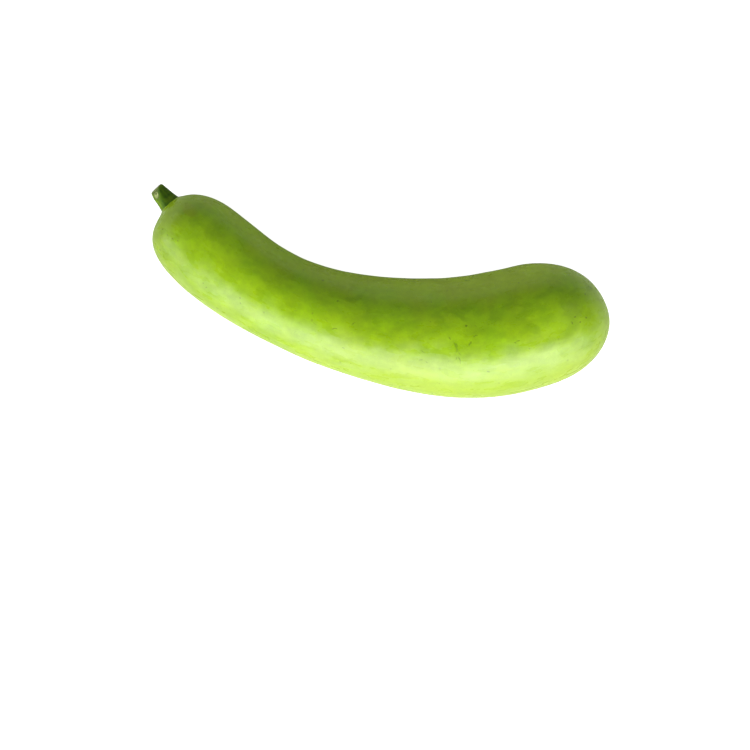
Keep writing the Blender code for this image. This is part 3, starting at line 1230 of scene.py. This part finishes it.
    @staticmethod
    def _rest_on_ground(clay: Clay) -> None:
        """Flattens what would reach below the ground.

        Args:
            clay: The fruit, in object mode.
        """
        bpy.ops.object.mode_set(mode="EDIT")
        clay.select(lambda place: place.z < 0.0)
        bpy.ops.transform.resize(value=(1.0, 1.0, 0.0), center_override=(0.0, 0.0, 0.0))
        bpy.ops.object.mode_set(mode="OBJECT")

    def dress(self, finish: RindFinish, effects: Effects) -> None:
        """Gives the fruit its skin, and its place in the frame.

        Args:
            finish: How its skin looks.
            effects: The shared node groups.
        """
        self.piece.data.materials.append(finish.material(effects, self))
        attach(self.piece, BODY)
        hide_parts("fruit")


@dataclass(frozen=True)
class BarkFinish:
    """The fibrous skin of the stem, and its cut flesh.

    Attributes:
        bark: The dark green of the stem.
        ridge: The lighter green of its patches and dots, also laid as painted light on its lit flank.
        groove: The deep green of its grooves.
        flesh: The pale green of the cut.
        bruise: The dark brown where the cut has dried, and of the pith.
        rim: How strongly the dried rim of a cut shows.
        flank: From and to how far aside the ridges' green, laid as painted light on the lit flank, fades out.
        painted_light_on_flank: How strongly that painted light shows there.
        fibres, patches, dots: The patterns of the bark.
        drying: How strongly the bruise shows on the cut flesh.
        roughness: How matt the stem is, and how far that varies.
        shine: Its specular level.
        fibre_height: How high its fibres stand.
    """

    bark: Colour = (0.090, 0.220, 0.003)
    ridge: Colour = (0.330, 0.540, 0.018)
    groove: Colour = (0.035, 0.105, 0.002)
    flesh: Colour = (0.640, 0.780, 0.260)
    bruise: Colour = (0.050, 0.065, 0.010)
    rim: float = 0.60
    flank: Pair = (-0.0060, 0.0002)
    painted_light_on_flank: float = 0.85
    fibres: Pattern = Pattern(0.0120, 0.55, width=0.0011)
    patches: Pattern = Pattern(0.0036, 0.35)
    dots: Pattern = Pattern(0.0003, 0.30, spacing=0.0014, share=0.4)
    drying: float = 0.25
    roughness: Pair = (0.58, 0.12)
    shine: float = 0.24
    fibre_height: float = 0.00005

    def material(self, effects: Effects) -> bpy.types.Material:
        """Mixes the stem's skin and flesh.

        Args:
            effects: The shared node groups.

        Returns:
            The material.
        """
        coat = Coat("stem_bark", self.bark)
        straight = coat.attribute(STRAIGHT).outputs["Vector"]
        cut, pith = coat.attribute(CUT).outputs["Fac"], coat.attribute(PITH).outputs["Fac"]
        fibres = coat.pattern(effects.streaks, self.fibres, straight)
        patches = coat.pattern(effects.mottle, self.patches, straight)
        dots = coat.pattern(effects.specks, self.dots, straight)

        # Painted light: the ridges' lighter green laid on the stem's flank that faces the lights
        coat.lay(coat.fade(coat.part(straight, 2), *self.flank), self.painted_light_on_flank, self.ridge)
        coat.lay(fibres, self.fibres.strength, self.groove)
        coat.lay(patches, self.patches.strength, self.ridge)
        coat.lay(dots, self.dots.strength, self.ridge)
        flesh = coat.mix(coat.times(patches, self.drying), self.flesh, self.bruise)
        coat.colour = coat.mix(cut, coat.colour, coat.mix(pith, flesh, self.bruise))
        # Halfway between bark and flesh is the dried rim
        left_over = coat.calculate("SUBTRACT", QUARTERS, coat.times(cut, QUARTERS))
        coat.lay(coat.times(cut, left_over), self.rim, self.bruise)

        mean, spread = self.roughness
        rough = coat.calculate("MULTIPLY_ADD", fibres, spread, mean - spread / 2)
        return coat.finish(rough, self.shine, coat.times(fibres, -self.fibre_height))


@dataclass
class Stem:
    """The stub of the stem, modelled upright with its foot at the origin and then laid in its place.

    Attributes:
        fruit: The fruit that it grows from.
        length: Its length from the foot of its socket.
        root: How far it reaches into the fruit.
        foot, waist, tip: Its radius at the foot, below the flare and at the cut.
        flare: How fast the foot's flare falls away.
        heading, rise: Where its tip leans to, in degrees.
        socket_depth: How far its foot sits below the collar.
        ridges: How many ridges run along it.
        ridge_height: How high they stand.
        ridge_sharpness: How much sharper than a wave they are.
        ridge_lean: How far that sharper wave is turned against the ridges, in radians.
        twist: How far they turn along the stem, in degrees.
        nick_depth: How deep the slanting nick at its tip bites.
        nick_heading, nick_rise: Where the nick faces, in degrees.
        nick_flesh: How far round its middle its flesh shows.
        hollow: How deep the nick's flesh is hollowed, and how wide.
        cut_depth: How far below a cut's middle its flesh begins to fade into bark.
        cut_edge: How soft the edge of a cut's flesh is, as a share of its reach.
        pith: How wide the pith is, as a share of the hollow.
        pith_shift: How far it lies off the middle of a cut.
        tip_rings: Each ring past the tube: its share of the one before, and how far it sinks.
        sides, rings: How finely it is drawn before it is smoothed.
        grain: How finely it is drawn before its corners are rounded.
        smoothings: How many times they are rounded.
        piece: The stem, once it is built.
    """

    fruit: Fruit
    length: float = 0.0130
    root: float = 0.0020
    foot: float = 0.0072
    waist: float = 0.0064
    tip: float = 0.0050
    flare: float = 0.0035
    heading: float = 136.0
    rise: float = 12.0
    socket_depth: float = 0.0007
    ridges: int = 5
    ridge_height: float = 0.00032
    ridge_sharpness: float = 0.15
    ridge_lean: float = 1.0
    twist: float = 14.0
    nick_depth: float = 0.0024
    nick_heading: float = 188.0
    nick_rise: float = 42.0
    nick_flesh: float = 0.0028
    hollow: Pair = (0.0007, 0.0011)
    cut_depth: float = 0.0006
    cut_edge: float = 0.4
    pith: float = 0.6
    pith_shift: float = 0.0012
    tip_rings: tuple[Pair, ...] = (
        (0.94, -0.00060),
        (0.90, -0.00025),
        (0.93, 0.00030),
        (0.50, -0.00015),
        (0.55, 0.00080),
    )
    sides: int = 60
    rings: int = 18
    grain: float = 0.00016
    smoothings: int = 14
    piece: bpy.types.Object | None = field(default=None, init=False)

    def ways(self) -> tuple[Vector, Vector]:
        """The way out of the fruit at the stem's foot, and the way that its tip leans to."""
        _, heading = self.fruit.line.at(0.0)
        return -heading_vector(heading), heading_vector(math.radians(self.heading), math.radians(self.rise))

    def place(self) -> Matrix:
        """Where the upright stem is laid: its foot in the socket, and its lean towards its tip.

        Returns:
            What takes the upright stem there.
        """
        outward, lean = self.ways()
        side = (lean - outward * lean.dot(outward)).normalized()
        laid = Matrix((side, outward.cross(side), outward)).transposed().to_4x4()
        foot, heading = self.fruit.line.at(0.0)
        foot += heading_vector(heading + math.pi / 2) * self.fruit.socket_sidestep
        laid.translation = foot + outward * (self.fruit.collar[0] - self.socket_depth)
        return laid

    def radius(self, distance: float) -> float:
        """The stem's mean radius at a distance from its foot: a flare, then a slow taper."""
        taper = self.waist + (self.tip - self.waist) * distance / self.length
        return taper + (self.foot - self.waist) * math.exp(-max(distance, 0.0) / self.flare)

    def build(self) -> bpy.types.Object:
        """Models the stem.

        Returns:
            The piece.
        """
        laid = self.place()
        outward, lean_way = self.ways()
        lean = outward.angle(lean_way)
        buried = Vector((0.0, 0.0, -self.root))
        clay = Clay("stem_stub", self.sides, self.radius(0.0), buried, (0.0, 0.0, 0.0))
        self._raise_ridges(clay)
        clay.close()
        clay.draw_out(-buried)
        centre = Vector((0.0, 0.0, 0.0))
        step = self.length / self.rings
        radius = self.radius(0.0)
        for index in range(1, self.rings + 1):
            tilt = lean * index / self.rings
            move = Vector((math.sin(tilt), 0.0, math.cos(tilt))) * step
            centre += move
            clay.draw_out(move)
            clay.widen(self.radius(index * step) / radius, centre)
            radius = self.radius(index * step)
            clay.turn(lean / self.rings, "Y", centre)
            clay.turn(math.radians(self.twist) / self.rings, "Z", centre)
        tip_outward = Vector((math.sin(lean), 0.0, math.cos(lean)))
        tip = self._cut_tip(clay, tip_outward, centre)
        nick_point, nick_outward = self._nick(clay, laid)
        clay.leave_edit_mode()
        clay.finish_with("REMESH", mode="VOXEL", voxel_size=self.grain)
        clay.finish_with("SMOOTH", factor=0.5, iterations=self.smoothings)
        nick = self._hollow_nick(clay, nick_point, nick_outward)
        self._note_cuts(clay, (nick, nick_outward, self.nick_flesh), (tip, tip_outward, self.tip))
        clay.note(STRAIGHT, clay.points()[:, (2, 0, 1)])
        clay.piece.matrix_world = laid
        bpy.ops.object.transform_apply(location=True, rotation=True, scale=True)
        bpy.ops.object.shade_smooth()
        self.piece = clay.piece
        return self.piece

    def _raise_ridges(self, clay: Clay) -> None:
        """Turns the first ring into the ridged section that the others repeat.

        Args:
            clay: The stem, in edit mode.
        """
        bpy.ops.object.mode_set(mode="OBJECT")
        places = clay.points()
        angle = np.arctan2(places[:, 1], places[:, 0])
        wave, sharper = np.cos(self.ridges * angle), np.cos(3 * self.ridges * angle + self.ridge_lean)
        crest = self.ridge_height * (wave + self.ridge_sharpness * sharper)
        share = 1 + crest / self.radius(0.0)
        places[:, :2] *= share[:, None]
        clay.move_points(places)
        bpy.ops.object.mode_set(mode="EDIT")
        bpy.ops.mesh.select_all(action="SELECT")

    def _cut_tip(self, clay: Clay, outward: Vector, centre: Vector) -> Vector:
        """Closes the tip with its cut: a rounded rim of bark, and flesh that has sunk a little.

        Args:
            clay: The stem, in edit mode, with its last ring selected.
            outward: The way that the tip faces.
            centre: The last ring's centre.

        Returns:
            The middle of the cut flesh.
        """
        for share, sink in self.tip_rings:
            clay.draw_out(outward * -sink)
            centre = centre - outward * sink
            clay.widen(share, centre)
        return centre

    def _hollow_nick(self, clay: Clay, point: Vector, outward: Vector) -> Vector:
        """Presses a hollow into the nick's flesh.

        Args:
            clay: The stem, in object mode.
            point: A point of the nick's plane.
            outward: The way that the nick faces.

        Returns:
            The middle of the nick's flesh.
        """
        depth = (clay.points() - np.array(point)) @ np.array(outward)
        facing = clay.normals() @ np.array(outward)
        flesh = clay.points()[(abs(depth) < 2 * self.grain) & (facing > FACING[1])]
        middle = Vector(flesh.mean(axis=0))
        deep, wide = self.hollow
        clay.press(self._pith_place(middle, outward), outward * -deep, wide)
        return middle

    def _pith_place(self, middle: Vector, outward: Vector) -> Vector:
        """Where the pith shows on a cut: a little towards the stem's tip from the cut's middle."""
        tipward = Vector((0.0, 0.0, 1.0)) - outward * outward.z
        return middle + tipward.normalized() * self.pith_shift

    @staticmethod
    def _across(places: np.ndarray, point: Vector, outward: Vector) -> tuple[np.ndarray, np.ndarray]:
        """Measures places against a plane.

        Args:
            places: One row of x, y and z for each place.
            point: A point of the plane.
            outward: The way that the plane faces.

        Returns:
            How far each place lies in front of the plane, and how far along it from the point.
        """
        away = places - np.array(point)
        height = away @ np.array(outward)
        return height, np.linalg.norm(away - height[:, None] * np.array(outward), axis=1)

    def _nick(self, clay: Clay, laid: Matrix) -> tuple[Vector, Vector]:
        """Cuts the slanting nick at one side of the tip.

        Args:
            clay: The stem, in edit mode.
            laid: Where the upright stem will be laid.

        Returns:
            A point of the nick's plane and its normal, in the upright stem's coordinates.
        """
        normal = heading_vector(math.radians(self.nick_heading), math.radians(self.nick_rise))
        upright = laid.to_3x3().transposed() @ normal
        bpy.ops.object.mode_set(mode="OBJECT")
        reach = (clay.points() @ np.array(upright)).max()
        bpy.ops.object.mode_set(mode="EDIT")
        point = upright * (reach - self.nick_depth)
        bpy.ops.mesh.select_all(action="SELECT")
        bpy.ops.mesh.bisect(plane_co=point, plane_no=upright, use_fill=True, clear_outer=True)
        return point, upright

    def _note_cuts(self, clay: Clay, *cuts: tuple[Vector, Vector, float]) -> None:
        """Notes which points are cut flesh, and which are the pith in its middle.

        Args:
            clay: The stem, in object mode.
            cuts: The middle of each cut, the way that it faces, and how far round its middle its flesh shows.
        """
        places, normals = clay.points(), clay.normals()
        _, wide = self.hollow
        shallow, least = FACING
        flesh, pith = np.zeros(len(places)), np.zeros(len(places))
        for middle, outward, reach in cuts:
            height, across = self._across(places, middle, outward)
            _, from_pith = self._across(places, self._pith_place(middle, outward), outward)
            open_side = ease(FLESH_DEPTHS + height / self.cut_depth)
            facing_side = ease((normals @ np.array(outward) - shallow) / (least - shallow))
            inside = ease((reach - across) / (reach * self.cut_edge))
            flesh = np.maximum(flesh, open_side * facing_side * inside)
            pithy = np.exp(-((from_pith / (self.pith * wide)) ** PITH_POWER))
            pith = np.maximum(pith, open_side * pithy)
        clay.note(CUT, np.maximum(flesh, pith))
        clay.note(PITH, pith)

    def dress(self, finish: BarkFinish, effects: Effects) -> None:
        """Gives the stem its finish, and its place in the frame.

        Args:
            finish: How its skin and flesh look.
            effects: The shared node groups.
        """
        self.piece.data.materials.append(finish.material(effects))
        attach(self.piece, BODY)
        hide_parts("stem")


@dataclass(frozen=True)
class SoftBox:
    """A flat soft light that faces the origin.

    Attributes:
        name: Its name.
        heading: Where it hangs, in degrees from +X.
        rise: How high, in degrees above the ground.
        width: Its width.
        height: Its height.
        brightness: How bright its face looks.
        distance: How far off it hangs.
    """

    name: str
    heading: float
    rise: float
    width: float
    height: float
    brightness: float
    distance: float = 1.25

    def hang(self) -> None:
        """Hangs the light."""
        outward = heading_vector(math.radians(self.heading), math.radians(self.rise))
        bpy.ops.object.light_add(type="AREA", location=outward * self.distance)
        light = bpy.context.object
        light.name = self.name
        light.rotation_euler = outward.to_track_quat("Z", "Y").to_euler()
        light.data.shape = "RECTANGLE"
        light.data.size, light.data.size_y = self.width, self.height
        # A face that glows evenly sends out pi times its brightness for each unit of its area
        light.data.energy = math.pi * self.brightness * self.width * self.height
        light.visible_camera = False


@dataclass(frozen=True)
class Studio:
    """A pale floor, soft lights all round, a glow along the horizon, and the camera above.

    Attributes:
        floor_size: The floor's width.
        floor_colour: The floor's colour.
        floor_roughness: How matt it is.
        floor_glow: What the camera sees on top of the floor's own light, so that it comes out near white.
        boxes: The soft lights.
        room_light: How bright the room is overhead, and along the horizon.
        horizon: The sine of the angle above the ground at which that glow has faded out.
        sky: How bright the camera sees the room behind the floor.
        camera: The camera's place.
        lens: Its focal length in millimetres.
        sensor: The width of its sensor in millimetres.
    """

    floor_size: float = 12.0
    floor_colour: Colour = (0.80, 0.80, 0.80)
    floor_roughness: float = 0.9
    floor_glow: float = 0.95
    boxes: tuple[SoftBox, ...] = (
        SoftBox("window_low", -100.0, 14.0, 1.56, 0.60, 3.45),
        SoftBox("window_high", -98.0, 36.0, 1.55, 0.52, 3.05),
        SoftBox("right_box", -45.0, 15.0, 1.00, 0.70, 2.30),
        SoftBox("right_front_box", -62.0, 30.0, 0.80, 0.35, 2.45),
        SoftBox("right_high_box", 10.0, 45.0, 1.00, 0.60, 0.30),
        SoftBox("back_box", 90.0, 8.0, 1.80, 0.35, 0.38),
        SoftBox("left_box", 155.0, 12.0, 1.50, 0.52, 0.60),
        SoftBox("left_front_box", -158.0, 15.0, 0.90, 0.60, 1.65),
    )
    room_light: Pair = (0.148, 0.24)
    horizon: float = 0.27
    sky: float = 0.95
    camera: tuple[float, float, float] = (-0.00306, -0.05270, 1.337)
    lens: float = 100.0
    sensor: float = 36.0

    def lay_floor(self) -> None:
        """Lays the floor that the gourd lies on."""
        bpy.ops.object.select_all(action="DESELECT")
        bpy.ops.mesh.primitive_plane_add(size=self.floor_size)
        floor = bpy.context.object
        floor.name = "floor"
        coat = Coat("pale_floor", self.floor_colour)
        coat.shader.inputs["Base Color"].default_value = coat.opaque(coat.colour)
        coat.shader.inputs["Roughness"].default_value = self.floor_roughness
        coat.shader.inputs["Specular IOR Level"].default_value = 0.0
        seen = coat.node("ShaderNodeLightPath").outputs["Is Camera Ray"]
        glow = coat.node("ShaderNodeEmission", {"Strength": coat.times(seen, self.floor_glow)})
        both = coat.node("ShaderNodeAddShader", {0: coat.shader.outputs[0], 1: glow.outputs[0]})
        output = coat.tree.nodes["Material Output"]
        coat.tree.links.new(both.outputs[0], output.inputs["Surface"])
        floor.data.materials.append(coat.material)

    def hang_lights(self) -> None:
        """Hangs the soft lights."""
        for box in self.boxes:
            box.hang()

    def light_room(self) -> None:
        """Lights the room dimly, with a glow along the horizon, and shows the camera a pale wall."""
        world = bpy.data.worlds.new("room")
        bpy.context.scene.world = world
        world.use_nodes = True
        graph = Graph(world.node_tree)
        background = world.node_tree.nodes["Background"]
        seen = graph.node("ShaderNodeLightPath").outputs["Is Camera Ray"]
        height = graph.part(graph.node("ShaderNodeTexCoord").outputs["Generated"], 2)
        overhead, glow = self.room_light
        lit = graph.stretch(height, 0.0, self.horizon, glow, overhead)
        strength = graph.node("ShaderNodeMix", {0: seen, 2: lit, 3: self.sky}).outputs[0]
        graph.tree.links.new(strength, background.inputs["Strength"])
        background.inputs["Color"].default_value = (1.0, 1.0, 1.0, 1.0)

    def set_camera(self) -> None:
        """Sets the camera straight above, looking down, with +Y up in the picture."""
        bpy.ops.object.camera_add(location=self.camera, rotation=(0.0, 0.0, 0.0))
        camera = bpy.context.object
        camera.name = "camera"
        camera.data.lens = self.lens
        camera.data.sensor_width = self.sensor
        bpy.context.scene.camera = camera
        bpy.context.scene.view_settings.view_transform = "Standard"


def main() -> None:
    """Sets up the studio, then models and dresses the fruit and its stem."""
    logging.basicConfig(level=logging.INFO, format="%(name)s: %(message)s")
    studio = Studio()
    studio.set_camera()
    studio.lay_floor()
    studio.hang_lights()
    studio.light_room()

    effects = Effects()
    fruit = Fruit(MiddleLine())
    stem = Stem(fruit)
    for part, finish in ((fruit, RindFinish()), (stem, BarkFinish())):
        piece = part.build()
        part.dress(finish, effects)
        LOG.info("%s: %d faces", piece.name, len(piece.data.polygons))


if __name__ == "__main__":
    main()
